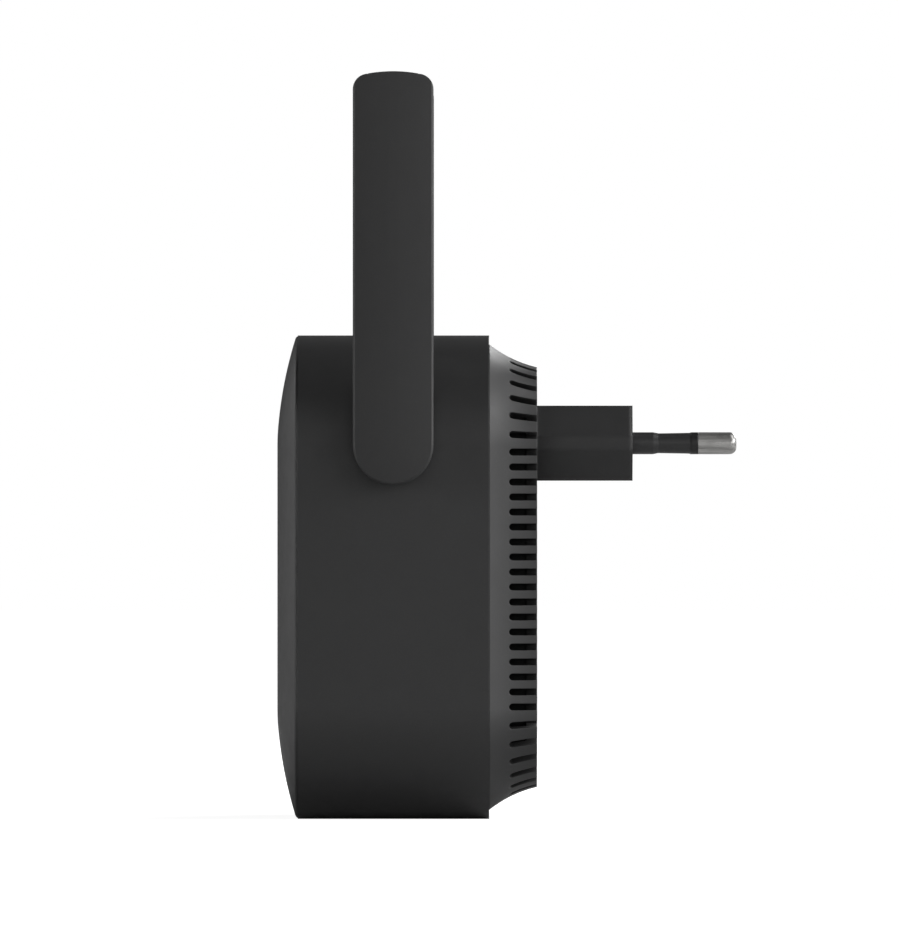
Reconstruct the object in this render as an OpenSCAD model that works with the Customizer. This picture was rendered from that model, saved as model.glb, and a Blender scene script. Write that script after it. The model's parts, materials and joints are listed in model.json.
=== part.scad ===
// Plug-in wifi range extender: a square body with a domed front, a side band, a flared and slotted
// rear cover, a two-pin mains plug, and an antenna that folds on each side.
// Frame: the origin is the middle of the plug's face, which meets the outlet. +Y points into the
// outlet, so the domed front faces -Y. +Z is up, and +X is the right-hand side seen from the front.

/* [Body] */
// Width and height of the square body
body_w = 88; // [86:1:92]
// Radius of the body's corners, seen from the front
corner_r = 20; // [19:0.5:21]
// Wall of the side band
wall = 2.2; // [2:0.1:2.4]
// Wall of the front and rear covers
cover_wall = 2; // [1.8:0.1:2.2]
// Depth of the side band
band_d = 34.8; // [34:0.2:37]
// How far the domed front stands in front of the band
dome_d = 3.74; // [3.2:0.1:4.2]
// Radius of the dome's curve
dome_r = 76; // [70:1:90]
// Radius of the rounded edge between the dome and the band
rim_r = 1; // [0.6:0.1:1.2]

/* [Rear cover] */
// Depth of the flared part behind the band
flare_d = 8.7; // [8:0.1:10]
// Step from the band's outside to the flare's wide end
flare_step = 1.6; // [1.2:0.1:1.8]
// Step from the band's outside to the flare's narrow end
flare_inset = 5.8; // [5:0.1:6.4]
// Radius of the flare's hollow curve
flare_r = 21.9; // [18:0.1:30]

/* [Vents] */
// Distance between neighbouring slots on a straight side
slot_pitch = 2.72; // [2.6:0.02:3]
// Distance from the middle of the top to the first slot
slot_first = 3.3; // [2:0.1:4]
// Radius at which the slots keep that pitch round a corner
slot_turn_r = 12; // [11.6:0.1:12.6]
// Width of a slot
slot_w = 1.25; // [1:0.05:1.4]
// Length of a slot, from its round end to the back face
slot_l = 5.1; // [4.5:0.1:5.5]

/* [Plug] */
// Height of the plug's axis above the body's centre
plug_rise = 24.4; // [22:0.2:26]
// Length of the neck behind the back face
neck_l = 17.5; // [16:0.5:20]
// Width of the neck, a flattened hexagon
neck_w = 35.3; // [34.6:0.1:36]
// Height of the neck
neck_h = 13.7; // [13:0.1:14.4]
// Width of the neck's flat top
neck_top_w = 26.1; // [25.6:0.1:26.6]
// Height of the neck's upright end facets
neck_end_h = 2.6; // [2:0.1:4.5]
// Length of a pin beyond the plug's face
pin_l = 19; // [18.5:0.1:19.5]
// Diameter of a pin's bare tip
pin_d = 4; // [3.94:0.02:4.06]
// Distance between the pins' axes
pin_spacing = 18.6; // [17.5:0.1:19.2]
// Length of a pin's insulating sleeve beyond the plug's face
sleeve_l = 12; // [10:0.5:12.5]

/* [Antennas] */
// Width of an antenna
antenna_w = 14.6; // [13:0.1:16]
// Thickness of an antenna
antenna_t = 8; // [7:0.1:9]
// Reach of an antenna, from its pivot to its tip
antenna_l = 67.5; // [64:0.5:68]
// How far the pivots lie below the plug's axis
pivot_drop = 0.3; // [0:0.1:1]
// Gap between an antenna and the side of the body
antenna_gap = 0.5; // [0.4:0.1:0.8]
// Wall of the antenna shell
antenna_wall = 1.2; // [1:0.1:1.4]
// Radius of the hollow pivot
hub_r = 4; // [3.5:0.1:4.2]

/* [Hidden] */
$fn = 48;

// clearance round pieces that are pushed together
fit = 0.1;
// running clearance of a pivot in its bore, on the radius
run = 0.05;

// depths, along Y
back_y = -neck_l;
rear_y = back_y - flare_d;
seam_y = rear_y - band_d;
front_y = seam_y - dome_d;
back_in_y = back_y - cover_wall;
// the dome's centre lies this far inside a corner's centre
dome_in = 3.1;
// radius of the curve that leads from the flat middle of the front into the dome
lead_r = 40;
dome_y = front_y + lead_r + sqrt(pow(dome_r - lead_r, 2) - dome_in * dome_in);
// heights and widths
centre_z = -plug_rise;
half_w = body_w / 2;
bottom_z = centre_z - half_w;
// half the straight length of a side: the corners' centres lie here
half_s = half_w - corner_r;
// the band's inner face, measured from a corner's centre
inner_r = corner_r - wall;
// the covers' skirts, which slide inside the band
skirt_r = inner_r - 0.2;
skirt_t = 1.6;
skirt_d = 5;
// snap ridges on the skirts and the pockets they catch in
snap_l = 6;
snap_d = 1;
snap_h = 0.6;
snap_x = 14;
snap_in = 2.6;

// screw posts inside the band
post_x = half_s + 4;
post_r = 3;
post_hole_r = 1.05;
screw_l = 7;
// boards
board_half = post_x + 5;
main_board_t = 1.2;
main_back_y = seam_y + 4;
main_front_y = main_back_y - main_board_t;
power_board_t = 1.6;
power_front_y = rear_y - 4.3;
power_back_y = power_front_y + power_board_t;
board_hole_r = 1.5;
// rib behind the slots, measured from a corner's centre
screen_r = 8.2;
screen_t = 1.4;
// the slots' way round a corner, round half the body, and how many fit on it
slot_turn = slot_turn_r * PI / 2;
slot_way = 4 * half_s + 2 * slot_turn;
half_slots = floor((slot_way - slot_first) / slot_pitch + 0.5);
// insulating sheet between the boards
sheet_y = main_back_y + 6;
sheet_t = 0.4;
sheet_half = board_half + 3;

// label on the back face
label_w = 42;
label_h = 22;
label_t = 0.15;
label_z = centre_z - 14;
label_gap = 0.2;

// plug insert; a pin's core, its tail inside the neck and its rounded tip; its sleeve, which is narrower
// in the insert behind its collar
insert_d = 8;
neck_wall = 2;
core_r = 1.4;
tail_l = 11;
tip_round = 1.2;
held_r = 1.75;
collar_l = 3.8;
collar_in = 1;
ring_l = 1.2;

// pivots of the antennas
pivot_z = -pivot_drop;
pivot_y = (seam_y + rear_y) / 2;
boss_r = 7;
boss_t = 2;
hub_bore_r = hub_r / 2;
boss_in = wall + boss_t;
hub_in = boss_in + 2.2;
washer_t = 0.45;
clip_t = 0.5;
clip_in = boss_in + 0.65;
clip_groove = 0.7;
clip_r = 6;
stop_tab_w = 2;
stop_tab_r = 7.8;
stop_r = 6.3;
// top of an antenna
tip_corner_r = 2.8;
tip_crown_r = 26;
// crown across an antenna's outer face, with a narrow flat along its middle, and the cut along its edges
face_crown_r = 54;
face_flat_d = 0.006;
edge_cut = 0.35;
// heights of the pegs that hold the radiator
peg_z = [22, 52];

// light pipe and reset hole
light_z = centre_z + 22;
light_r = 1;
reset_y = main_back_y + 3.2;
reset_r = 0.75;
reset_travel = 0.3;
plunger_r = 1.4;
plunger_low = bottom_z + 8.4;
switch_low = centre_z - board_half + 0.9;
plunger_top = switch_low + 2;

// coaxial cable's radius
coax_r = 0.57;

// transformer core, from the board's face: half its width, its window, its two ends and its yokes
core_half_w = 9.5;
core_window = 7;
core_low = 1.5;
core_high = 15.5;
yoke_t = 2.5;
centre_leg_r = 2.6;
// shield can and the chip under it
wifi_h = 1;
can_h = 2.6;
can_wall = 0.25;
can_half = 13;

// places on the boards, as [across, up] from the body's centre, and the step between a part's leads
mains_at = [10, 21.4];
fuse_at = [23, 12];
fuse_step = [0, 13];
choke_at = [-23, 17.5];
choke_step = [5, 0];
bridge_at = [11, 11];
controller_at = [-6, 13];
bulk_upper_at = [-23, 4.5];
bulk_lower_at = [-23, -8];
bulk_step = [0, 5];
transformer_at = [2, -5];
safety_at = [20.5, -4];
safety_step = [0, 7];
output_at = [19, -18];
output_step = [3.5, 0];
diode_at = [5, -21];
diode_step = [10, 0];
dc_at = [-8, -24];
dc_step = [3, 0];
memory_at = [-14, 12];
crystal_at = [-14, 2];
inductor_at = [12, -16];
rf_at = [26, 12];
wifi_at = [0, -13];

function unit(v) = v / norm(v);
function between(v, low, high) = min(max(v, low), high);
// Centre of a circle of radius r through p and q, to the left of the way from p to q
function arc_centre(p, q, r) =
    let (m = (p + q) / 2, d = q - p, h = sqrt(r * r - d * d / 4))
    m + h * [-d[1], d[0]] / norm(d);
// A smooth path through hand-picked points, with steps points for each stretch
function smooth_path(p, steps) = [
    for (i = [0:len(p) - 2], s = [0:steps - 1])
        let (
            a = p[max(i - 1, 0)], b = p[i], c = p[i + 1], d = p[min(i + 2, len(p) - 1)],
            t = s / steps
        )
        b + t / 2 * (c - a + t * (2 * a - 5 * b + 4 * c - d + t * (3 * b - a - 3 * c + d))),
    p[len(p) - 1]
];

// A box between two opposite corners
module block(low, high) {
    translate(low) cube(high - low);
}

// A round bar along Y, or along X, that starts at the origin
module rod_y(r, l) {
    rotate([-90, 0, 0]) cylinder(r = r, h = l);
}

module rod_x(r, l) {
    rotate([0, 90, 0]) cylinder(r = r, h = l);
}

// A round wire of radius r along path; side is a direction that the path never runs in
module wire(path, r, side, sides = 8) {
    last = len(path) - 1;
    points = [
        for (i = [0:last], k = [0:sides - 1])
            let (
                t = unit(path[min(i + 1, last)] - path[max(i - 1, 0)]),
                u = unit(cross(t, side)),
                v = cross(t, u)
            )
            path[i] + r * (cos(360 * k / sides) * u + sin(360 * k / sides) * v)
    ];
    walls = [
        for (i = [0:last - 1], k = [0:sides - 1])
            let (n = (k + 1) % sides)
            [i * sides + k, (i + 1) * sides + k, (i + 1) * sides + n, i * sides + n]
    ];
    caps = [[for (k = [0:sides - 1]) k], [for (k = [0:sides - 1]) last * sides + sides - 1 - k]];
    polyhedron(points = points, faces = concat(walls, caps));
}

// Moves its children to the body's centre line
module at_centre() {
    translate([0, 0, centre_z]) children();
}

// Its children once for each of the body's four sides
module four_sides() {
    for (turn = [0:3]) rotate([0, 90 * turn, 0]) children();
}

// Its children at each screw post
module at_posts() {
    for (x = [-post_x, post_x], z = [-post_x, post_x]) translate([x, 0, centre_z + z]) children();
}

// Sweeps a profile, drawn as [distance out from a corner's centre, Y], round the body
module round_body() {
    at_centre() four_sides() {
        translate([half_s, 0, -half_s]) linear_extrude(2 * half_s) children();
        translate([half_s, 0, -half_s]) rotate([-90, 0, 0]) rotate_extrude(angle = 90) children();
    }
}

// A plate over the square between the corners' centres
module middle_plate(y, t) {
    at_centre() block([-half_s, y, -half_s], [half_s, y + t, half_s]);
}

// Snap ridges, or with grow the pockets that they catch in, on a skirt at depth y
module snaps(y, grow = 0) {
    at_centre() four_sides() for (z = [-snap_x, snap_x])
        block(
            [half_s + skirt_r - 0.3, y - snap_d / 2 - grow, z - snap_l / 2 - grow],
            [half_s + skirt_r + snap_h + grow, y + snap_d / 2 + grow, z + snap_l / 2 + grow]
        );
}

// Front cover -----------------------------------------------------------------

// The area behind the front's curve, set back by the given amount: a gentle lead in, then the dome
module behind_dome(set_back) {
    lead_x = dome_in * (lead_r - set_back) / (dome_r - lead_r);
    intersection() {
        translate([0, front_y + lead_r]) circle(lead_r - set_back, $fn = 200);
        translate([-2, front_y]) square([lead_x + 4, dome_d + skirt_d]);
    }
    intersection() {
        translate([-dome_in, dome_y]) circle(dome_r - set_back, $fn = 200);
        translate([lead_x, front_y]) square([corner_r, dome_d + skirt_d]);
    }
}

module front_profile() {
    // the rounded edge's centre, and where it meets the dome's curve
    rim_x = corner_r - rim_r;
    rim_y = dome_y - sqrt(pow(dome_r - rim_r, 2) - pow(rim_x + dome_in, 2));
    meet_x = (rim_x + dome_in) * dome_r / (dome_r - rim_r) - dome_in;
    difference() {
        union() {
            intersection() {
                behind_dome(0);
                translate([0, front_y]) square([meet_x, dome_d]);
            }
            intersection() {
                translate([rim_x, rim_y]) circle(rim_r);
                translate([meet_x - 0.2, front_y]) square([corner_r, dome_d]);
            }
            translate([skirt_r - skirt_t, seam_y - 1]) square([skirt_t, skirt_d + 1]);
        }
        intersection() {
            behind_dome(cover_wall);
            translate([-1, front_y]) square([skirt_r - skirt_t + 1, dome_d + skirt_d]);
        }
    }
}

module front_cover() {
    color("#2b2b2c") difference() {
        union() {
            round_body() front_profile();
            middle_plate(front_y, cover_wall);
            snaps(seam_y + snap_in);
            // collar that holds the light pipe
            translate([0, front_y + 1, light_z]) rod_y(2.6, 3);
        }
        translate([0, front_y - 1, light_z]) rod_y(light_r + 0.02, 10);
        translate([0, front_y + 3, light_z]) rod_y(1.6, 10);
    }
}

module light_pipe() {
    color("#e9edf0") translate([0, front_y, light_z]) {
        rod_y(light_r, 5.2);
        translate([0, 3.05, 0]) rod_y(1.55, 0.9);
    }
}

// Side band -------------------------------------------------------------------

module screw_post() {
    difference() {
        union() {
            translate([0, main_back_y, 0]) rod_y(post_r, power_front_y - main_back_y);
            // web to the band's corner; the insulation sheet rests against its front end
            web = inner_r - (post_x - half_s) * sqrt(2) + 0.5;
            rotate([0, -45, 0]) block([0, sheet_y + sheet_t, -0.8], [web, power_front_y - 3, 0.8]);
        }
        translate([0, main_back_y - 1, 0]) rod_y(post_hole_r, screw_l + 2);
        translate([0, power_front_y - screw_l - 1, 0]) rod_y(post_hole_r, screw_l + 2);
    }
}

// The four posts, each with its web towards its own corner
module screw_posts() {
    at_centre() four_sides() translate([post_x, 0, post_x]) screw_post();
}

// What the band holds for one pivot, on the +X side
module pivot_boss() {
    translate([half_w - boss_in, pivot_y, pivot_z]) rod_x(boss_r, boss_t + 0.5);
    // stops for the clip's tab, above and below the axis
    for (up = [0, 1]) translate([half_w - wall, pivot_y, pivot_z]) mirror([0, 0, up])
        block([-boss_t - 1.7, stop_tab_w / 2 + 0.3, stop_r], [-1, stop_tab_w / 2 + 1.8, stop_tab_r + 0.8]);
}

module main_housing() {
    tube_bottom = bottom_z + wall;
    color("#262627") difference() {
        union() {
            round_body() translate([inner_r, seam_y]) square([wall, band_d]);
            screw_posts();
            for (side = [0, 1]) mirror([side, 0, 0]) pivot_boss();
            // guide for the reset pin
            translate([0, reset_y, tube_bottom - 0.5]) cylinder(r = 1.6, h = 4.5);
        }
        for (side = [0, 1]) mirror([side, 0, 0])
            translate([half_w - boss_in - 3, pivot_y, pivot_z]) rod_x(hub_r + run, boss_in + 6);
        snaps(seam_y + snap_in, fit);
        snaps(rear_y - snap_in, fit);
        translate([0, reset_y, bottom_z - 1]) cylinder(r = reset_r, h = 10);
    }
}

// Rear cover and plug neck ----------------------------------------------------

module rear_profile() {
    wide = corner_r - flare_step;
    narrow = corner_r - flare_inset;
    curve = arc_centre([narrow, back_y], [wide, rear_y], flare_r);
    difference() {
        translate([0, rear_y]) square([wide, flare_d]);
        translate(curve) circle(flare_r, $fn = 120);
        difference() {
            translate([-1, rear_y - 1]) square([wide + 2, flare_d + 1 - cover_wall]);
            translate(curve) circle(flare_r + cover_wall, $fn = 120);
        }
    }
    translate([skirt_r - skirt_t, rear_y - skirt_d + 1]) square([skirt_t, skirt_d - 0.5]);
    // rib that screens the power board's live parts from the slots
    translate([screen_r, power_back_y + 0.5]) square([screen_t, back_in_y - power_back_y]);
}

// The neck's outline, a flattened hexagon, moved in by inset
module neck_outline(inset) {
    x = neck_w / 2 - inset;
    z = neck_h / 2 - inset;
    top = neck_top_w / 2 - inset / 2;
    end = neck_end_h / 2 - inset / 3;
    polygon([[x, -end], [x, end], [top, z], [-top, z], [-x, end], [-x, -end], [-top, -z], [top, -z]]);
}

// The neck's outline made solid, from y0 to y1
module neck_prism(inset, y0, y1) {
    translate([0, y1, 0]) rotate([90, 0, 0]) linear_extrude(y1 - y0) neck_outline(inset);
}

// One slot: its length runs along Y to the back face, and it cuts in along X as far as the screening rib
module slot() {
    r = slot_w / 2;
    start = screen_r + screen_t + 0.2;
    depth = corner_r - start;
    translate([start, back_y - slot_l + r, 0]) {
        block([0, 0, -r], [depth, slot_l, r]);
        rod_x(r, depth);
    }
}

// Slots at an even pitch from the middle of the top, down each side, to the middle of the bottom
module slots() {
    at_centre() for (side = [0, 1], i = [0:half_slots - 1]) mirror([side, 0, 0]) {
        way = slot_first + i * slot_pitch;
        x = min(way, half_s) - max(way - slot_way + half_s, 0);
        z = half_s - between(way - half_s - slot_turn, 0, 2 * half_s);
        turned = between(way - half_s, 0, slot_turn) + between(way - 3 * half_s - slot_turn, 0, slot_turn);
        translate([x, 0, z]) rotate([0, turned / slot_turn * 90 - 90, 0]) slot();
    }
}

module rear_cover() {
    color("#303031") difference() {
        union() {
            round_body() rear_profile();
            middle_plate(back_in_y, cover_wall);
            neck_prism(0, back_in_y, 0);
            snaps(rear_y - snap_in);
        }
        slots();
        neck_prism(neck_wall, -insert_d, 1);
        neck_prism(neck_wall + 1.2, back_in_y - 1, 1);
        // shallow seat for the label
        block(
            [-label_w / 2 - label_gap, back_y - label_t - 0.1, label_z - label_h / 2 - label_gap],
            [label_w / 2 + label_gap, back_y + 1, label_z + label_h / 2 + label_gap]
        );
    }
}

module blank_label() {
    color("#3a3a3b") block(
        [-label_w / 2, back_y - label_t - 0.08, label_z - label_h / 2],
        [label_w / 2, back_y - 0.08, label_z + label_h / 2]
    );
}

// Plug ------------------------------------------------------------------------

module plug_insert() {
    color("#242425") difference() {
        neck_prism(neck_wall + fit, -insert_d + fit, 0);
        for (x = [-pin_spacing / 2, pin_spacing / 2]) {
            translate([x, -insert_d - 1, 0]) rod_y(held_r + 0.02, insert_d + 2);
            // seat for the sleeve's collar
            translate([x, -collar_in - 0.02, 0]) rod_y(pin_d / 2 + 0.02, collar_in + 1);
        }
    }
}

// A brass pin: a thin core under the sleeve, and a full-size tip with a rounded end
module pin() {
    tip_r = pin_d / 2;
    color("#c9c9c6") translate([pin_spacing / 2, 0, 0]) rotate([-90, 0, 0]) rotate_extrude() {
        translate([0, -tail_l]) square([core_r, tail_l + sleeve_l + 0.5]);
        translate([0, sleeve_l + 0.02]) square([tip_r, pin_l - tip_round - sleeve_l - 0.02]);
        translate([0, pin_l - tip_round - 0.5]) square([tip_r - tip_round, tip_round + 0.5]);
        intersection() {
            translate([tip_r - tip_round, pin_l - tip_round]) circle(tip_round);
            translate([0, pin_l - tip_round - 0.3]) square([tip_r, tip_round + 0.3]);
        }
    }
}

// An insulating sleeve: a collar at the face, a slightly waisted middle and an end ring
module pin_sleeve() {
    r = pin_d / 2;
    bore = core_r + 0.02;
    color("#222223") translate([pin_spacing / 2, 0, 0]) rotate([-90, 0, 0]) rotate_extrude() polygon([
        [bore, -insert_d], [held_r, -insert_d], [held_r, -collar_in], [r, -collar_in],
        [r, collar_l], [r - 0.2, collar_l + 1],
        [r - 0.1, sleeve_l - ring_l - 0.2], [r, sleeve_l - ring_l],
        [r, sleeve_l], [bore, sleeve_l]
    ]);
}

// An insulated lead from a pin's tail to the power board, with a bare end through the board
module mains_lead() {
    start_x = pin_spacing / 2;
    end_z = centre_z + mains_at[1];
    route = [
        [start_x, -tail_l - 0.1, 0],
        [start_x, -tail_l - 4, 0.1 * end_z],
        [(start_x + mains_at[0]) / 2, (power_back_y - tail_l) / 2, 0.5 * end_z],
        [mains_at[0], power_back_y + 4, 0.9 * end_z],
        [mains_at[0], power_back_y + 0.1, end_z]
    ];
    color("#5a2f22") wire(smooth_path(route, 4), 0.9, [1, 0, 0]);
    color("#5a2f22") translate([mains_at[0], power_front_y - 1, end_z]) rod_y(0.5, power_board_t + 1.4);
}

// Boards ----------------------------------------------------------------------

// Puts a part drawn upright, with its height along Z, on the front of the power board
module on_power_board(spot) {
    translate([spot[0], power_front_y, centre_z + spot[1]]) rotate([90, 0, 0]) children();
}

module on_main_front(spot) {
    translate([spot[0], main_front_y, centre_z + spot[1]]) rotate([90, 0, 0]) children();
}

module on_main_back(spot) {
    translate([spot[0], main_back_y, centre_z + spot[1]]) rotate([-90, 0, 0]) children();
}

// A board's outline with its screw holes, drawn face on
module board_outline() {
    difference() {
        intersection() {
            square(2 * board_half, center = true);
            rotate(45) square(2 * board_half * sqrt(2) - 5, center = true);
        }
        for (x = [-post_x, post_x], z = [-post_x, post_x]) translate([x, z]) circle(board_hole_r);
    }
}

module power_board() {
    pairs = [
        [fuse_at, fuse_step], [choke_at, choke_step], [bulk_upper_at, bulk_step], [bulk_lower_at, bulk_step],
        [safety_at, safety_step], [output_at, output_step], [diode_at, diode_step], [dc_at, dc_step]
    ];
    color("#8a6a35") on_power_board([0, 0]) translate([0, 0, -power_board_t]) linear_extrude(power_board_t)
        difference() {
            board_outline();
            for (pair = pairs, end = [-0.5, 0.5]) translate(pair[0] + end * pair[1]) circle(0.45);
            for (x = [-1, 1]) translate([x * mains_at[0], mains_at[1]]) circle(0.6);
            // slot that keeps the mains side apart from the low-voltage side
            translate([6, -14.5]) square([14, 1.2], center = true);
        }
}

module main_board() {
    color("#1f4d35") on_main_front([0, 0]) translate([0, 0, -main_board_t]) linear_extrude(main_board_t)
        difference() {
            board_outline();
            // notch over the reset switch's plunger
            translate([0, -board_half]) square([7, 1.6], center = true);
            for (end = [-0.5, 0.5]) translate(dc_at + end * dc_step) circle(0.45);
        }
}

module insulation_sheet() {
    color("#d8d2bd") translate([0, sheet_y, centre_z]) difference() {
        block([-sheet_half, 0, -sheet_half], [sheet_half, sheet_t, sheet_half]);
        for (x = [-post_x, post_x], z = [-post_x, post_x]) translate([x, -1, z]) rod_y(post_r + 0.15, 3);
        // notches for the coaxial pigtails
        for (side = [0, 1]) mirror([side, 0, 0]) block([board_half - 1.5, -1, 13.5], [sheet_half + 1, 2, 24]);
        translate([dc_at[0], -1, dc_at[1]]) rod_y(3.2, 3);
    }
}

// Two leads, step apart, from a part's foot through the power board
module leads(step) {
    for (end = [-0.5, 0.5]) translate([end * step[0], end * step[1], -power_board_t - 1])
        cylinder(r = 0.35, h = power_board_t + 1.6);
}

// An upright electrolytic capacitor with a crimp near its foot and a scored top
module can_capacitor(r, l, step) {
    difference() {
        rotate_extrude() polygon([
            [0, 0.2], [r - 0.4, 0.2], [r, 0.7], [r, 1.6], [r - 0.35, 1.9], [r - 0.35, 2.2], [r, 2.5],
            [r, l - 0.4], [r - 0.4, l], [0, l]
        ]);
        for (turn = [0, 90]) rotate(turn) block([-0.6 * r, -0.15, l - 0.25], [0.6 * r, 0.15, l + 1]);
    }
    leads(step);
}

// A part lying on the board between two leads that bend down through it
module lying_part(r, l, step) {
    reach = norm(step) / 2;
    rotate(atan2(step[1], step[0])) {
        translate([-l / 2, 0, r + 0.3]) rod_x(r, l);
        for (side = [0, 1]) mirror([side, 0, 0]) {
            translate([l / 2 - 0.2, 0, r + 0.3]) rod_x(0.35, reach - l / 2 + 0.55);
            translate([reach, 0, -power_board_t - 1]) cylinder(r = 0.35, h = power_board_t + r + 1.3);
        }
    }
}

// A chip package with flat legs along two sides
module chip(w, l, h, legs, pitch) {
    block([-w / 2, -l / 2, 0.15], [w / 2, l / 2, h]);
    for (side = [0, 1], i = [0:legs - 1]) mirror([side, 0, 0])
        translate([w / 2 - 0.2, (i - (legs - 1) / 2) * pitch, 0]) {
            block([0, -0.2, h / 2 - 0.1], [0.6, 0.2, h / 2 + 0.15]);
            block([0.4, -0.2, 0], [0.6, 0.2, h / 2]);
            block([0.4, -0.2, 0], [1.3, 0.2, 0.2]);
        }
}

// Power supply ----------------------------------------------------------------

module transformer_core() {
    color("#3c3b3a") on_power_board(transformer_at) {
        difference() {
            block([-core_half_w, -4, core_low], [core_half_w, 4, core_high]);
            block([-core_window, -5, core_low + yoke_t], [core_window, 5, core_high - yoke_t]);
        }
        translate([0, 0, core_low + 1]) cylinder(r = centre_leg_r, h = core_high - core_low - 2);
    }
}

module transformer_bobbin() {
    low = core_low + yoke_t + 0.1;
    high = core_high - yoke_t - 0.1;
    color("#1d1d1e") on_power_board(transformer_at) {
        difference() {
            union() {
                translate([0, 0, low]) cylinder(r = 3.3, h = high - low);
                for (z = [low, high - 0.7]) translate([0, 0, z]) cylinder(r = 6.6, h = 0.7);
                for (side = [0, 1]) mirror([0, side, 0]) block([-5, 4.15, 0], [5, 6.2, low + 0.7]);
            }
            translate([0, 0, low - 1]) cylinder(r = centre_leg_r + 0.1, h = high - low + 2);
        }
    }
}

module transformer_winding() {
    low = core_low + yoke_t + 0.85;
    high = core_high - yoke_t - 0.85;
    color("#c9a227") on_power_board(transformer_at) difference() {
        translate([0, 0, low]) cylinder(r = 6.2, h = high - low);
        translate([0, 0, low - 1]) cylinder(r = 3.35, h = high - low + 2);
    }
}

module bulk_capacitor(spot) {
    color("#23272e") on_power_board(spot) can_capacitor(5, 16, bulk_step);
}

module fuse_resistor() {
    color("#6f8f6a") on_power_board(fuse_at) lying_part(1.8, 8, fuse_step);
}

// A choke wound on a drum
module emi_choke() {
    color("#2e2e2e") on_power_board(choke_at) {
        translate([0, 0, 0.3]) cylinder(r = 4, h = 1);
        translate([0, 0, 1]) cylinder(r = 3.5, h = 6.4);
        translate([0, 0, 7.2]) cylinder(r = 4, h = 1);
        leads(choke_step);
    }
}

module bridge_rectifier() {
    color("#202021") on_power_board(bridge_at) chip(5, 7.6, 2.5, 2, 5);
}

module power_controller() {
    color("#202021") on_power_board(controller_at) chip(5, 8.4, 3, 4, 2.2);
}

// A disc capacitor standing on edge
module safety_capacitor() {
    color("#2b62a8") on_power_board(safety_at) {
        difference() {
            translate([-1.5, 0, 5]) rod_x(4, 3);
            for (side = [0, 1]) mirror([side, 0, 0]) translate([1.2, 0, 5]) rod_x(3, 1);
        }
        for (end = [-0.5, 0.5]) translate([0, end * safety_step[1], -power_board_t - 1])
            cylinder(r = 0.35, h = power_board_t + 5.5);
    }
}

module output_capacitor() {
    color("#1c3d5a") on_power_board(output_at) can_capacitor(4, 12, output_step);
}

module output_diode() {
    color("#1b1b1c") on_power_board(diode_at) lying_part(1.5, 5, diode_step);
}

// The two wires that feed the main board
module dc_leads() {
    color("#a33327") for (end = [-0.5, 0.5]) {
        x = dc_at[0] + end * dc_step[0];
        z = centre_z + dc_at[1];
        bow = 1.2 * end;
        middle_y = (power_front_y + main_back_y) / 2;
        route = [
            [x, power_front_y - 0.1, z], [x, power_front_y - 4, z], [x + bow, middle_y, z - 1],
            [x, main_back_y + 4, z], [x, main_back_y + 0.1, z]
        ];
        wire(smooth_path(route, 4), 0.7, [1, 0, 0]);
        translate([x, power_front_y - 0.6, z]) rod_y(0.4, power_board_t + 1.4);
        translate([x, main_front_y - 0.8, z]) rod_y(0.4, main_board_t + 1.4);
    }
}

// Main board parts ------------------------------------------------------------

module wifi_chip() {
    color("#19191a") on_main_front(wifi_at) {
        block([-6, -6, 0], [6, 6, 0.3]);
        block([-5.6, -5.6, 0.2], [5.6, 5.6, wifi_h]);
    }
}

module thermal_pad() {
    color("#8fa3b0") on_main_front(wifi_at) block([-5, -5, wifi_h], [5, 5, can_h - can_wall]);
}

module shield_can() {
    inner = can_half - can_wall;
    color("#b9bcbf") on_main_front(wifi_at) difference() {
        block([-can_half, -can_half, 0], [can_half, can_half, can_h]);
        block([-inner, -inner, -1], [inner, inner, can_h - can_wall]);
        // vent holes round the thermal pad
        for (turn = [0:90:270], i = [-2:2])
            rotate(turn) translate([8.5, 2.5 * i, 0]) cylinder(r = 0.7, h = 5);
    }
}

module memory_chip() {
    color("#19191a") on_main_back(memory_at) chip(4, 5, 1.6, 4, 1.27);
}

module crystal() {
    color("#c4c6c8") on_main_back(crystal_at) {
        block([-1.6, -1.25, 0], [1.6, 1.25, 0.5]);
        block([-1.4, -1.05, 0.4], [1.4, 1.05, 0.7]);
    }
}

module buck_inductor() {
    color("#565655") on_main_back(inductor_at) {
        block([-3.5, -3.5, 0], [3.5, 3.5, 0.6]);
        translate([0, 0, 0.5]) cylinder(r = 2.6, h = 2.2);
        translate([0, 0, 2.6]) cylinder(r = 3.4, h = 0.8);
    }
}

module status_led() {
    color("#f2efe2") on_main_front([0, light_z - centre_z]) {
        block([-1.6, -0.8, 0], [1.6, 0.8, 0.4]);
        translate([0, 0, 0.3]) cylinder(r = 0.7, h = 0.5);
    }
}

// Reset switch, pressed through the pinhole in the band's lower wall
module reset_switch() {
    bore_top = plunger_top + reset_travel + 0.1;
    color("#2a2a2c") difference() {
        block([-3, main_back_y, switch_low], [3, main_back_y + 5, switch_low + 3.6]);
        translate([0, reset_y, switch_low - 1]) cylinder(r = plunger_r + run, h = bore_top - switch_low + 1);
    }
}

module reset_plunger() {
    tip_h = 0.4;
    color("#6e6f71") translate([0, reset_y, plunger_low]) {
        cylinder(r1 = plunger_r - 0.3, r2 = plunger_r, h = tip_h + 0.1);
        translate([0, 0, tip_h]) cylinder(r = plunger_r, h = plunger_top - plunger_low - tip_h);
    }
}

// A push-on coaxial connector with a barrel that the pigtail ends in, on the +X side
module rf_connector() {
    color("#c8a748") on_main_back(rf_at) {
        cylinder(r = 1.4, h = 0.8);
        translate([0, 0, 0.7]) cylinder(r = 1.8, h = 1.3);
        difference() {
            translate([1, 0, 1.35]) rod_x(coax_r + 0.3, 2.4);
            translate([2, 0, 1.35]) rod_x(coax_r + 0.05, 2);
        }
    }
}

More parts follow.
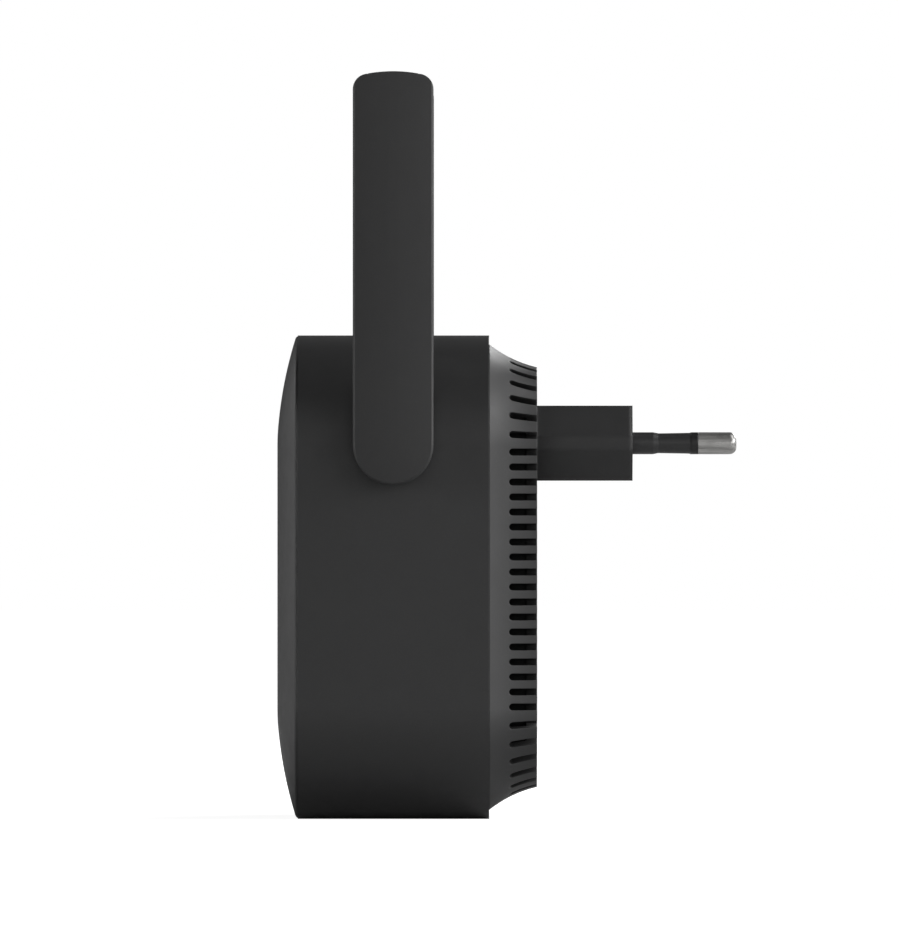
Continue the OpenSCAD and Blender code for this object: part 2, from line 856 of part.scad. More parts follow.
module pigtail() {
    end_x = rf_at[0] + 2.3;
    end_y = main_back_y + 1.35;
    end_z = centre_z + rf_at[1];
    start_x = half_w - hub_in - 0.1;
    side_x = board_half + 1.3;
    color("#77797c") wire(smooth_path([
        [start_x, pivot_y, pivot_z],
        [start_x - 1.6, pivot_y - 0.4, pivot_z - 0.3],
        [side_x + 0.3, pivot_y - 3, pivot_z - 1.6],
        [side_x, sheet_y + 0.5, end_z + 7],
        [side_x - 0.6, sheet_y - 3.2, end_z + 2.6],
        [end_x + 2, end_y + 0.1, end_z + 0.2],
        [end_x, end_y, end_z]
    ], 5), coax_r, [0, 0.45, -1]);
}

// A pan-head screw along Y: its head stands in front of the origin and its shank runs behind it
module screw(shank_l) {
    head_r = 2;
    head_h = 1.3;
    difference() {
        union() {
            rotate([90, 0, 0]) rotate_extrude() polygon([
                [0, 0], [head_r, 0], [head_r, 0.7 * head_h], [0.75 * head_r, head_h], [0, head_h]
            ]);
            translate([0, -0.1, 0]) rod_y(1, shank_l);
        }
        for (turn = [0, 90]) rotate([0, turn, 0]) block([-1.3, -head_h - 1, -0.2], [1.3, -head_h + 0.7, 0.2]);
    }
}

module main_board_screws() {
    color("#a9abad") at_posts() translate([0, main_front_y, 0]) screw(main_board_t + screw_l - 1);
}

module power_board_screws() {
    color("#a9abad") at_posts()
        translate([0, power_back_y, 0]) rotate(180) screw(power_board_t + screw_l - 1);
}

// Antennas, all drawn for the +X side -----------------------------------------

// Its children with the pivot's axis as the X axis and the antenna's inner face at X = 0
module at_pivot() {
    translate([half_w + antenna_gap, pivot_y, pivot_z]) children();
}

// Half of an antenna's section, drawn as [distance from the middle, height above the inner face]:
// a crowned top with its edge cut off at 45 degrees
module antenna_half_section() {
    half = antenna_w / 2;
    crown_y = antenna_t - face_crown_r;
    cut_x = half - edge_cut;
    side_h = crown_y + sqrt(face_crown_r * face_crown_r - cut_x * cut_x) - edge_cut;
    top_h = antenna_t - face_flat_d;
    intersection() {
        translate([0, crown_y]) circle(face_crown_r, $fn = 200);
        polygon([[0, 0], [half, 0], [half, side_h], [half - top_h + side_h, top_h], [0, top_h]]);
    }
}

// An antenna's outline above its pivot, drawn as [across, up], with a crowned top
module upper_outline(inset) {
    half = antenna_w / 2 - inset;
    top = antenna_l - inset;
    corner_z = top - tip_corner_r - 0.45;
    translate([-half, 0]) square([2 * half, corner_z]);
    intersection() {
        translate([0, top - tip_crown_r]) circle(tip_crown_r, $fn = 160);
        translate([-half, corner_z - 1]) union() {
            translate([tip_corner_r, 0]) square([2 * (half - tip_corner_r), tip_corner_r + 2]);
            for (x = [tip_corner_r, 2 * half - tip_corner_r]) translate([x, 1]) circle(tip_corner_r);
        }
    }
}

// A slab of the antenna's whole outline, moved in by inset, from x0 to x1
module antenna_slab(inset, x0, x1) {
    translate([x0, 0, 0]) rotate([90, 0, 90]) linear_extrude(x1 - x0) {
        circle(antenna_w / 2 - inset, $fn = 96);
        upper_outline(inset);
    }
}

module antenna_shell() {
    low = antenna_wall + 0.05;
    color("#2a2a2b") at_pivot() difference() {
        union() {
            // the part above the pivot
            intersection() {
                linear_extrude(antenna_l) {
                    rotate(-90) antenna_half_section();
                    mirror([0, 1]) rotate(-90) antenna_half_section();
                }
                rotate([90, 0, 90]) linear_extrude(antenna_t) upper_outline(0);
            }
            // the round end below the pivot
            rotate([0, 90, 0]) rotate_extrude(angle = 180, start = -90) antenna_half_section();
        }
        block([-1, -antenna_w, -antenna_w], [low, antenna_w, antenna_l + 1]);
        antenna_slab(antenna_wall, low - 1, antenna_t - antenna_wall);
    }
}

module antenna_cover() {
    color("#2a2a2b") at_pivot() difference() {
        union() {
            antenna_slab(0, 0, antenna_wall);
            // lip inside the shell
            difference() {
                antenna_slab(antenna_wall + fit, antenna_wall - 0.5, antenna_wall + 1);
                antenna_slab(2 * antenna_wall, antenna_wall, antenna_wall + 2);
            }
            // hollow pivot through the band
            translate([-antenna_gap - hub_in, 0, 0]) rod_x(hub_r, antenna_gap + hub_in + antenna_wall / 2);
            // posts for the radiator
            for (z = peg_z) translate([0, 0, z]) {
                rod_x(1.5, 3.5);
                rod_x(0.7, 4.8);
            }
        }
        translate([-antenna_gap - hub_in - 1, 0, 0]) rod_x(hub_bore_r, hub_in + 8);
        // groove for the stop clip
        translate([-antenna_gap - clip_in - clip_t - 0.05, 0, 0]) difference() {
            rod_x(hub_r + 1, clip_t + 0.1);
            translate([-1, 0, 0]) rod_x(hub_r - clip_groove, clip_t + 2);
        }
    }
}

// The aerial itself: a narrow board with two printed arms
module radiator() {
    low = 12;
    high = 62;
    color("#3d6b4f") at_pivot() difference() {
        union() {
            block([3.5, -4.5, low], [4.3, 4.5, high]);
            block([4.2, -3.6, 32], [4.36, -1.6, high - 2]);
            block([4.2, 1.6, 24], [4.36, 3.6, high - 8]);
            block([4.2, -3.6, 30], [4.36, 3.6, 32]);
        }
        for (z = peg_z) translate([3, 0, z]) rod_x(0.8, 3);
    }
}

module antenna_coax() {
    start_x = -antenna_gap - hub_in + 0.3;
    end_x = 3.5 - coax_r - 0.03;
    color("#77797c") at_pivot() wire(smooth_path([
        [start_x, 0, 0], [-2, 0, 0], [0.2, 0, 0.1], [end_x - 0.9, 0, 1.5], [end_x - 0.1, 0, 4], [end_x, 0, 7],
        [end_x, 0, 13], [end_x, 0, 17.5]
    ], 4), coax_r, [0, 1, 0]);
}

// A sprung clip on the hub, with a tab that meets the stops inside the band
module stop_clip() {
    color("#b4b6b8") at_pivot() translate([-antenna_gap - clip_in - clip_t, 0, 0]) difference() {
        union() {
            rod_x(clip_r, clip_t);
            block([0, -stop_tab_w / 2, 0], [clip_t, stop_tab_w / 2, stop_tab_r]);
        }
        translate([-1, 0, 0]) rod_x(hub_r - clip_groove + 0.03, clip_t + 2);
        // the gap that lets it spring over the hub
        block([-1, -1.6, -clip_r - 1], [clip_t + 1, 1.6, 0]);
    }
}

module wave_washer() {
    color("#b4b6b8") at_pivot() translate([-antenna_gap - clip_in + 0.02, 0, 0]) difference() {
        rod_x(5.8, washer_t);
        translate([-1, 0, 0]) rod_x(hub_r + fit, washer_t + 2);
    }
}

module pivot_washer() {
    color("#3a3b3d") at_pivot() translate([-0.3, 0, 0]) difference() {
        rod_x(6.2, 0.3);
        translate([-1, 0, 0]) rod_x(hub_r + fit, 3);
    }
}

// Its children on the -X side
module left() {
    mirror([1, 0, 0]) children();
}

// Nodes -----------------------------------------------------------------------

front_cover();
light_pipe();
main_housing();
rear_cover();
blank_label();
plug_insert();
left() pin();  // pin_left
pin();  // pin_right
left() pin_sleeve();  // pin_sleeve_left
pin_sleeve();  // pin_sleeve_right
left() mains_lead();  // mains_lead_left
mains_lead();  // mains_lead_right
power_board();
transformer_core();
transformer_bobbin();
transformer_winding();
bulk_capacitor(bulk_upper_at);  // bulk_capacitor_upper
bulk_capacitor(bulk_lower_at);  // bulk_capacitor_lower
fuse_resistor();
emi_choke();
bridge_rectifier();
power_controller();
safety_capacitor();
output_capacitor();
output_diode();
dc_leads();
insulation_sheet();
main_board();
wifi_chip();
thermal_pad();
shield_can();
memory_chip();
crystal();
buck_inductor();
status_led();
reset_switch();
reset_plunger();
left() rf_connector();  // rf_connector_left
rf_connector();  // rf_connector_right
left() pigtail();  // pigtail_left
pigtail();  // pigtail_right
main_board_screws();
power_board_screws();
left() antenna_shell();  // antenna_shell_left
left() antenna_cover();  // antenna_cover_left
left() radiator();  // radiator_left
left() antenna_coax();  // antenna_coax_left
left() stop_clip();  // stop_clip_left
left() wave_washer();  // wave_washer_left
left() pivot_washer();  // pivot_washer_left
antenna_shell();  // antenna_shell_right
antenna_cover();  // antenna_cover_right
radiator();  // radiator_right
antenna_coax();  // antenna_coax_right
stop_clip();  // stop_clip_right
wave_washer();  // wave_washer_right
pivot_washer();  // pivot_washer_right
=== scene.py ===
import json
import math

import bpy
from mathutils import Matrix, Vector


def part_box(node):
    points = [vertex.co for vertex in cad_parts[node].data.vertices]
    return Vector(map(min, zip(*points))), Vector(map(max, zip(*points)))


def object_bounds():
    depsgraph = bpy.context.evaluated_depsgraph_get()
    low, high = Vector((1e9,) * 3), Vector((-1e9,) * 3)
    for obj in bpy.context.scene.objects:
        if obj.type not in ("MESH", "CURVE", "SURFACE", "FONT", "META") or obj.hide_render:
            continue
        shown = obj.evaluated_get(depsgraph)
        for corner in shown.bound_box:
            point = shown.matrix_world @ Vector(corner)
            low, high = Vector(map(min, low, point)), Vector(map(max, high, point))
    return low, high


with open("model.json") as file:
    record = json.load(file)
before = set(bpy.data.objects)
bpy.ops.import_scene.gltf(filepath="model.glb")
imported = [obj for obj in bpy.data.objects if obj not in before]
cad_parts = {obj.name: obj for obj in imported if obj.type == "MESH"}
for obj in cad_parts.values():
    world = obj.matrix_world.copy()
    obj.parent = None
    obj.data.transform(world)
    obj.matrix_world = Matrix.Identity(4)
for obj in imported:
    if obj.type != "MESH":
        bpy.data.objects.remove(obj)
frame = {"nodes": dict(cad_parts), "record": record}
cad_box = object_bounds()

MM = 0.001
# rays cast per sample to soften edges and to find how open a spot is
SHADER_RAYS = 6
# places along Y: the label on the back face, and the end of the pins' sleeves
BACK_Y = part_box("blank_label")[1][1]
SLEEVE_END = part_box("pin_sleeve_right")[1][1]
# length of the end ring of a sleeve that is painted darker, as painted shade
SHADED_END_RING = 1.2 * MM
# softness of the edges of the plug's neck
NECK_EDGE = 1.2 * MM


# Node helpers --------------------------------------------------------------------

def add(tree, kind, inputs=None, **settings):
    """Adds a node. inputs maps a socket's name or number to a value or to another node's output."""
    made = tree.nodes.new(kind)
    for key, value in settings.items():
        setattr(made, key, value)
    for key, value in (inputs or {}).items():
        if isinstance(value, bpy.types.NodeSocket):
            tree.links.new(value, made.inputs[key])
        else:
            made.inputs[key].default_value = value
    return made


def new_tree(name):
    """A new material's node tree, empty."""
    material = bpy.data.materials.new(name)
    material.use_nodes = True
    material.node_tree.nodes.clear()
    return material, material.node_tree


def with_surface(material, tree, inputs):
    """Ends the material with a shader that has these inputs, and returns the material."""
    shader = add(tree, "ShaderNodeBsdfPrincipled", inputs)
    output = add(tree, "ShaderNodeOutputMaterial")
    tree.links.new(shader.outputs[0], output.inputs["Surface"])
    return material


def rgba(colour):
    return (colour[0], colour[1], colour[2], 1.0)


def shade(colour, factor):
    return tuple(min(channel * factor, 1.0) for channel in colour)


def object_coords(tree):
    return add(tree, "ShaderNodeTexCoord").outputs["Object"]


def place_along(tree, coords, axis):
    """The place along an axis, which is "X", "Y" or "Z"."""
    return add(tree, "ShaderNodeSeparateXYZ", {"Vector": coords}).outputs[axis]


def noise(tree, coords, size, detail=2.0, stretch=None):
    """Noise from 0 to 1 with features about size metres across, drawn out along an axis by stretch."""
    if stretch is not None:
        mapping = add(tree, "ShaderNodeMapping", {"Vector": coords, "Scale": stretch})
        coords = mapping.outputs["Vector"]
    made = add(tree, "ShaderNodeTexNoise", {"Vector": coords, "Scale": 1.0 / size, "Detail": detail})
    return made.outputs["Fac"]


def remap(tree, value, low, high, to_low, to_high):
    made = add(tree, "ShaderNodeMapRange", {
        "Value": value, "From Min": low, "From Max": high, "To Min": to_low, "To Max": to_high,
    })
    return made.outputs["Result"]


def spread(tree, value, to_low, to_high):
    """Noise mostly stays between 0.3 and 0.7: this spreads it over a new range."""
    return remap(tree, value, 0.3, 0.7, to_low, to_high)


def maths(tree, operation, a, b=0.0):
    return add(tree, "ShaderNodeMath", {0: a, 1: b}, operation=operation).outputs[0]


def times(tree, a, b):
    return maths(tree, "MULTIPLY", a, b)


def mix_colours(tree, factor, a, b):
    """a where factor is 0 and b where it is 1; each is a colour or a colour output."""
    # a mix node's colour sockets are numbers 6 and 7
    return add(tree, "ShaderNodeMix", {0: factor, 6: a, 7: b}, data_type="RGBA").outputs[2]


def vary(tree, factor, colour, darker, lighter):
    """The colour, scaled by darker where factor is 0 and by lighter where it is 1."""
    return mix_colours(tree, factor, rgba(shade(colour, darker)), rgba(shade(colour, lighter)))


def plain_normal(tree):
    return add(tree, "ShaderNodeNewGeometry").outputs["Normal"]


def soft_normal(tree, radius):
    """The normal with its sharp edges rounded off."""
    return add(tree, "ShaderNodeBevel", {"Radius": radius}, samples=SHADER_RAYS).outputs["Normal"]


def edge_mask(tree, rounded):
    """1 on edges, where the rounded normal leaves the plain one, and 0 elsewhere."""
    match = add(tree, "ShaderNodeVectorMath", {0: rounded, 1: plain_normal(tree)}, operation="DOT_PRODUCT")
    return remap(tree, match.outputs["Value"], 0.995, 0.85, 0.0, 1.0)


def openness(tree, reach):
    """1 on open surfaces, falling to 0 down a slot or crack that is narrow beside reach."""
    made = add(tree, "ShaderNodeAmbientOcclusion", {"Distance": reach}, samples=SHADER_RAYS, only_local=True)
    return made.outputs["AO"]


def bump(tree, height, depth, normal):
    made = add(tree, "ShaderNodeBump", {"Height": height, "Distance": depth, "Normal": normal})
    return made.outputs["Normal"]


# Materials -----------------------------------------------------------------------

CUT_LAMINATE = (0.42, 0.36, 0.2)
STRIPE_GREY = (0.62, 0.64, 0.66)
BARE_ALUMINIUM = (0.72, 0.73, 0.75)
PRINT_GREY = (0.34, 0.34, 0.35)
# distance from the label's edge to its printed border
BORDER_INSET = 1.4 * MM
# the winding's ridges are a wave, and this is the length of one radian of it
RIDGE_RADIAN = 0.9 * MM
# the length of one radian in a wave texture at a scale of 1
WAVE_RADIAN = 1 / 20


def moulded_plastic(name, colour, roughness=0.5, grain=0.3 * MM, depth=0.004 * MM, edge=0.25 * MM, rub=0.4,
                    shade_painted_from=None, vented=False):
    """Injection-moulded plastic: a spark-eroded grain, slow drift of tone and gloss, rubbed edges.

    An end ring can be painted darker from a place along Y, as painted shade. A vented part gets painted
    shade, nearly black, down its deep slots.
    """
    material, tree = new_tree(name)
    coords = object_coords(tree)
    if vented:
        # the plug's neck, behind the back face, has softer edges than the slots
        edge = remap(tree, place_along(tree, coords, "Y"), BACK_Y, BACK_Y + 1 * MM, edge, NECK_EDGE)
    normal = soft_normal(tree, edge)
    drift = noise(tree, coords, 22 * MM, 3.0)
    speck = noise(tree, coords, 0.7 * grain, 3.0)
    patchy = noise(tree, coords, 4 * MM, 4.0)
    base = vary(tree, drift, colour, 0.9, 1.1)
    specked = mix_colours(tree, remap(tree, speck, 0.5, 0.8, 0.0, 0.5), base, rgba(shade(colour, 1.5)))
    rubbed = times(tree, edge_mask(tree, normal), remap(tree, patchy, 0.35, 0.7, 0.3 * rub, rub))
    tone = mix_colours(tree, rubbed, specked, rgba(shade(colour, 2.2)))
    gloss = maths(tree, "SUBTRACT", spread(tree, patchy, roughness - 0.03, roughness + 0.03),
                  times(tree, rubbed, 0.15))
    if vented:
        # painted shade: the slots and the inside, where little light gets in, are painted nearly black and
        # have no gloss
        painted_slot_shade = remap(tree, openness(tree, 10 * MM), 0.35, 0.75, 1.0, 0.0)
        tone = mix_colours(tree, painted_slot_shade, tone, rgba(shade(colour, 0.05)))
        gloss = maths(tree, "MAXIMUM", gloss, painted_slot_shade)
    if shade_painted_from is not None:
        # painted shade: the sleeve's end ring is painted darker
        ring = remap(tree, place_along(tree, coords, "Y"), shade_painted_from, shade_painted_from + 0.1 * MM, 0.0, 1.0)
        tone = mix_colours(tree, ring, tone, rgba(shade(colour, 0.4)))
    pits = noise(tree, coords, grain, 4.0)
    return with_surface(material, tree, {
        "Base Color": tone, "Roughness": gloss, "Normal": bump(tree, pits, depth, normal),
    })


def clear_plastic(name, colour):
    """A frosted clear moulding, such as a light pipe."""
    material, tree = new_tree(name)
    coords = object_coords(tree)
    normal = soft_normal(tree, 0.1 * MM)
    frost = noise(tree, coords, 0.15 * MM, 3.0)
    tint = vary(tree, noise(tree, coords, 2 * MM), colour, 0.92, 1.0)
    return with_surface(material, tree, {
        "Base Color": tint, "Roughness": spread(tree, frost, 0.22, 0.38),
        "Transmission Weight": 0.55, "IOR": 1.49, "Normal": bump(tree, frost, 0.004 * MM, normal),
    })


def plated_metal(name, colour, roughness=0.22, along=(1.0, 0.04, 1.0), scratch=0.1 * MM, tarnish=0.25,
                 metallic=1.0, streaks=0.1):
    """Plated or drawn metal: fine scratches and streaks that run along one axis, with a little tarnish."""
    material, tree = new_tree(name)
    coords = object_coords(tree)
    normal = soft_normal(tree, 0.12 * MM)
    lines = noise(tree, coords, scratch, 3.0, stretch=along)
    cloud = noise(tree, coords, 2.5 * MM, 4.0)
    stain = remap(tree, cloud, 0.45, 0.75, 0.0, tarnish)
    drawn = noise(tree, coords, 6 * scratch, 3.0, stretch=along)
    streaked = vary(tree, remap(tree, drawn, 0.35, 0.65, 0.0, 1.0), colour, 1.0 - streaks, 1.0 + streaks)
    base = mix_colours(tree, stain, streaked, rgba(shade(colour, 0.55)))
    bright = mix_colours(tree, times(tree, edge_mask(tree, normal), 0.6), base, rgba(shade(colour, 1.25)))
    dulled = maths(tree, "ADD", spread(tree, lines, roughness - 0.05, roughness + 0.07),
                   times(tree, stain, 0.5))
    return with_surface(material, tree, {
        "Base Color": bright, "Metallic": metallic, "Roughness": dulled,
        "Normal": bump(tree, lines, 0.003 * MM, normal),
    })


def circuit_board(name, mask, copper, track=1.6 * MM):
    """Laminate under solder mask, with tracks showing through as paler, slightly raised lines."""
    material, tree = new_tree(name)
    coords = object_coords(tree)
    normal = soft_normal(tree, 0.08 * MM)
    cells = add(tree, "ShaderNodeTexVoronoi", {
        "Vector": coords, "Scale": 1.0 / (4 * track), "Randomness": 0.85,
    }, distance="CHEBYCHEV", feature="F1")
    rings = maths(tree, "PINGPONG", times(tree, cells.outputs["Distance"], 5.0), 1.0)
    tracks = remap(tree, rings, 0.55, 0.7, 0.0, 1.0)
    weave = noise(tree, coords, 0.5 * MM, 2.0)
    ground = vary(tree, weave, mask, 0.85, 1.15)
    tracked = mix_colours(tree, times(tree, tracks, 0.7), ground, rgba(copper))
    bare = mix_colours(tree, edge_mask(tree, normal), tracked, rgba(CUT_LAMINATE))
    height = maths(tree, "ADD", tracks, times(tree, weave, 0.2))
    return with_surface(material, tree, {
        "Base Color": bare, "Roughness": spread(tree, weave, 0.28, 0.4),
        "Coat Weight": 0.3, "Coat Roughness": 0.2, "Normal": bump(tree, height, 0.03 * MM, normal),
    })


def wire_jacket(name, colour, roughness=0.45):
    """Flexible insulation: a faint extrusion grain and handling marks."""
    material, tree = new_tree(name)
    coords = object_coords(tree)
    fine = noise(tree, coords, 0.2 * MM, 3.0, stretch=(1.0, 0.2, 1.0))
    marks = noise(tree, coords, 1.5 * MM, 3.0)
    base = vary(tree, marks, colour, 0.8, 1.2)
    return with_surface(material, tree, {
        "Base Color": base, "Roughness": spread(tree, marks, roughness - 0.06, roughness + 0.08),
        "Normal": bump(tree, fine, 0.006 * MM, plain_normal(tree)),
    })


def sleeved_can(name, sleeve, centre, radius, top_y):
    """A capacitor: a shrink sleeve with a pale stripe down one side, and a bare aluminium top."""
    material, tree = new_tree(name)
    coords = object_coords(tree)
    normal = soft_normal(tree, 0.15 * MM)
    x = place_along(tree, coords, "X")
    off_x = maths(tree, "SUBTRACT", x, centre.x)
    off_z = maths(tree, "SUBTRACT", place_along(tree, coords, "Z"), centre.z)
    squares = maths(tree, "ADD", times(tree, off_x, off_x), times(tree, off_z, off_z))
    inside = remap(tree, maths(tree, "SQRT", squares), 0.8 * radius, 0.84 * radius, 1.0, 0.0)
    at_top = remap(tree, place_along(tree, coords, "Y"), top_y + 1 * MM, top_y + 0.8 * MM, 0.0, 1.0)
    bare = times(tree, inside, at_top)
    stripe = remap(tree, x, centre.x + 0.82 * radius, centre.x + 0.86 * radius, 0.0, 1.0)
    wrinkle = noise(tree, coords, 1.2 * MM, 3.0)
    film = vary(tree, wrinkle, sleeve, 0.8, 1.25)
    striped = mix_colours(tree, times(tree, stripe, 0.85), film, rgba(STRIPE_GREY))
    colour = mix_colours(tree, bare, striped, rgba(BARE_ALUMINIUM))
    return with_surface(material, tree, {
        "Base Color": colour, "Metallic": bare, "Roughness": spread(tree, wrinkle, 0.22, 0.36),
        "Normal": bump(tree, wrinkle, 0.01 * MM, normal),
    })


def wound_tape(name, colour):
    """Turns of wire under clear yellow tape: ridges that run round the winding, and stains."""
    material, tree = new_tree(name)
    coords = object_coords(tree)
    wave = add(tree, "ShaderNodeTexWave", {
        "Vector": coords, "Scale": WAVE_RADIAN / RIDGE_RADIAN, "Distortion": 0.4,
    }, wave_type="BANDS", bands_direction="Y")
    turns = wave.outputs["Fac"]
    stain = noise(tree, coords, 2 * MM, 3.0)
    base = vary(tree, turns, colour, 0.75, 1.1)
    aged = mix_colours(tree, remap(tree, stain, 0.4, 0.7, 0.0, 0.4), base, rgba(shade(colour, 0.55)))
    return with_surface(material, tree, {
        "Base Color": aged, "Roughness": spread(tree, stain, 0.2, 0.35), "Coat Weight": 0.5,
        "Coat Roughness": 0.12, "Normal": bump(tree, turns, 0.05 * MM, plain_normal(tree)),
    })


def fibre_sheet(name, colour):
    """A pale insulating sheet with a fibrous mottle."""
    material, tree = new_tree(name)
    coords = object_coords(tree)
    normal = soft_normal(tree, 0.08 * MM)
    fibres = noise(tree, coords, 0.6 * MM, 4.0, stretch=(0.25, 1.0, 1.0))
    mottle = noise(tree, coords, 5 * MM, 4.0)
    base = vary(tree, mottle, colour, 0.88, 1.06)
    flecked = mix_colours(tree, remap(tree, fibres, 0.6, 0.75, 0.0, 0.3), base, rgba(shade(colour, 0.6)))
    return with_surface(material, tree, {
        "Base Color": flecked, "Roughness": spread(tree, fibres, 0.5, 0.65),
        "Normal": bump(tree, fibres, 0.01 * MM, normal),
    })


def blank_film(name, colour, low, high):
    """A label with nothing on it but a thin printed border, between the corners low and high."""
    material, tree = new_tree(name)
    coords = object_coords(tree)
    normal = soft_normal(tree, 0.1 * MM)
    rooms = []
    for number, axis in ((0, "X"), (2, "Z")):
        middle = (low[number] + high[number]) / 2
        half = (high[number] - low[number]) / 2
        off = maths(tree, "ABSOLUTE", maths(tree, "SUBTRACT", place_along(tree, coords, axis), middle))
        rooms.append(maths(tree, "SUBTRACT", half, off))
    inset = maths(tree, "MINIMUM", *rooms)
    from_line = maths(tree, "ABSOLUTE", maths(tree, "SUBTRACT", inset, BORDER_INSET))
    border = remap(tree, from_line, 0.12 * MM, 0.16 * MM, 1.0, 0.0)
    fine = noise(tree, coords, 0.25 * MM, 3.0)
    base = vary(tree, noise(tree, coords, 9 * MM, 3.0), colour, 0.9, 1.1)
    printed = mix_colours(tree, times(tree, border, 0.8), base, rgba(PRINT_GREY))
    return with_surface(material, tree, {
        "Base Color": printed, "Roughness": spread(tree, fine, 0.33, 0.42),
        "Normal": bump(tree, fine, 0.002 * MM, normal),
    })


# Every node's material, by the record's slot ---------------------------------------

BLACK = (0.021, 0.021, 0.0215)
# painted light: lighter copies of the black, brightened to stand in for light that the rear cover and the
# sleeves catch
REAR_BLACK_PAINTED_LIGHTER = shade(BLACK, 1.1)
SLEEVE_BLACK_PAINTED_LIGHTER = shade(BLACK, 1.3)

SLOT_MATERIALS = {
    "front_plastic": moulded_plastic("front_plastic_look", BLACK, roughness=0.46, edge=0.5 * MM),
    "band_plastic": moulded_plastic("band_plastic_look", BLACK, roughness=0.48),
    "rear_plastic": moulded_plastic("rear_plastic_look", REAR_BLACK_PAINTED_LIGHTER, roughness=0.5, rub=0.3, vented=True),
    "insert_plastic": moulded_plastic("insert_plastic_look", BLACK, roughness=0.42, grain=0.2 * MM),
    "antenna_plastic": moulded_plastic("antenna_plastic_look", BLACK, roughness=0.5, edge=0.2 * MM),
    "sleeve_plastic": moulded_plastic("sleeve_plastic_look", SLEEVE_BLACK_PAINTED_LIGHTER, roughness=0.42, edge=0.2 * MM,
                                      shade_painted_from=SLEEVE_END - SHADED_END_RING),
    "washer_plastic": moulded_plastic("washer_plastic_look", (0.04, 0.04, 0.042), roughness=0.4),
    "bobbin_plastic": moulded_plastic("bobbin_plastic_look", (0.014, 0.014, 0.015), roughness=0.42),
    "switch_plastic": moulded_plastic("switch_plastic_look", (0.03, 0.03, 0.032), roughness=0.45),
    "plunger_plastic": moulded_plastic("plunger_plastic_look", (0.2, 0.2, 0.21), roughness=0.42,
                                       edge=0.1 * MM),
    "chip_resin": moulded_plastic("chip_resin_look", (0.013, 0.013, 0.014), roughness=0.55,
                                  grain=0.12 * MM, depth=0.01 * MM, edge=0.1 * MM),
    "ferrite": moulded_plastic("ferrite_look", (0.045, 0.043, 0.041), roughness=0.5, grain=0.2 * MM,
                               depth=0.015 * MM, edge=0.15 * MM, rub=0.7),
    "disc_coating": moulded_plastic("disc_coating_look", (0.03, 0.12, 0.4), roughness=0.25, grain=1.5 * MM,
                                    depth=0.03 * MM, edge=0.4 * MM),
    "resistor_paint": moulded_plastic("resistor_paint_look", (0.15, 0.27, 0.14), roughness=0.55,
                                      grain=0.4 * MM, depth=0.02 * MM, edge=0.4 * MM),
    "pad_silicone": moulded_plastic("pad_silicone_look", (0.28, 0.36, 0.43), roughness=0.7, grain=0.5 * MM,
                                    depth=0.02 * MM, edge=0.2 * MM, rub=0.1),
    "light_pipe_clear": clear_plastic("light_pipe_look", (0.86, 0.88, 0.9)),
    "led_resin": clear_plastic("led_resin_look", (0.9, 0.87, 0.74)),
    "pin_metal": plated_metal("pin_metal_look", (0.4, 0.395, 0.385), roughness=0.3, metallic=0.7,
                              streaks=0.35),
    "can_metal": plated_metal("can_metal_look", (0.62, 0.63, 0.64), roughness=0.34, along=(0.08, 1.0, 1.0)),
    "connector_metal": plated_metal("connector_metal_look", (0.78, 0.57, 0.22), roughness=0.25),
    "screw_steel": plated_metal("screw_steel_look", (0.6, 0.61, 0.63), roughness=0.3),
    "spring_steel": plated_metal("spring_steel_look", (0.5, 0.5, 0.51), roughness=0.3,
                                 along=(1.0, 1.0, 0.06)),
    "main_laminate": circuit_board("main_laminate_look", (0.012, 0.09, 0.035), (0.03, 0.17, 0.06)),
    "aerial_laminate": circuit_board("aerial_laminate_look", (0.02, 0.12, 0.05), (0.05, 0.22, 0.08)),
    "power_laminate": circuit_board("power_laminate_look", (0.36, 0.22, 0.08), (0.5, 0.31, 0.12), 2.6 * MM),
    "mains_wire": wire_jacket("mains_wire_look", (0.1, 0.04, 0.02)),
    "dc_wire": wire_jacket("dc_wire_look", (0.4, 0.03, 0.02)),
    "coax_jacket": wire_jacket("coax_jacket_look", (0.16, 0.16, 0.17), roughness=0.35),
    "winding_tape": wound_tape("winding_tape_look", (0.66, 0.45, 0.05)),
    "sheet_film": fibre_sheet("sheet_film_look", (0.68, 0.64, 0.5)),
}


def can_material(node, sleeve):
    low, high = (Vector(corner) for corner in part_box(node))
    return sleeved_can(node + "_look", sleeve, (low + high) / 2, (high.x - low.x) / 2, low.y)


NODE_MATERIALS = {
    "bulk_capacitor_upper": can_material("bulk_capacitor_upper", (0.02, 0.024, 0.03)),
    "bulk_capacitor_lower": can_material("bulk_capacitor_lower", (0.02, 0.024, 0.03)),
    "output_capacitor": can_material("output_capacitor", (0.02, 0.05, 0.12)),
    "blank_label": blank_film("blank_label_look", (0.045, 0.045, 0.047), *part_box("blank_label")),
}

for part in frame["record"]["subparts"]:
    chosen = NODE_MATERIALS.get(part["node"]) or SLOT_MATERIALS[part["material_slot"]]
    for slot in frame["nodes"][part["node"]].material_slots:
        slot.material = chosen

# the front's small triangles meet at the corners' centres; their shading follows the flat middle
even_shading = frame["nodes"]["front_cover"].modifiers.new("even_shading", "WEIGHTED_NORMAL")
even_shading.keep_sharp = True


# Studio --------------------------------------------------------------------------

object_low, object_high = (Vector(corner) for corner in cad_box)
object_middle = (object_low + object_high) / 2


def direction(azimuth, elevation):
    """A unit vector from the object: azimuth 0 is its front, 90 its right-hand side, 180 its plug."""
    turn = math.radians(azimuth)
    rise = math.radians(elevation)
    return Vector((math.sin(turn) * math.cos(rise), -math.cos(turn) * math.cos(rise), math.sin(rise)))


# the soft lights' distance from the object's middle and their width, in metres
LIGHT_DISTANCE = 1.2
LIGHT_SIZE = 0.5


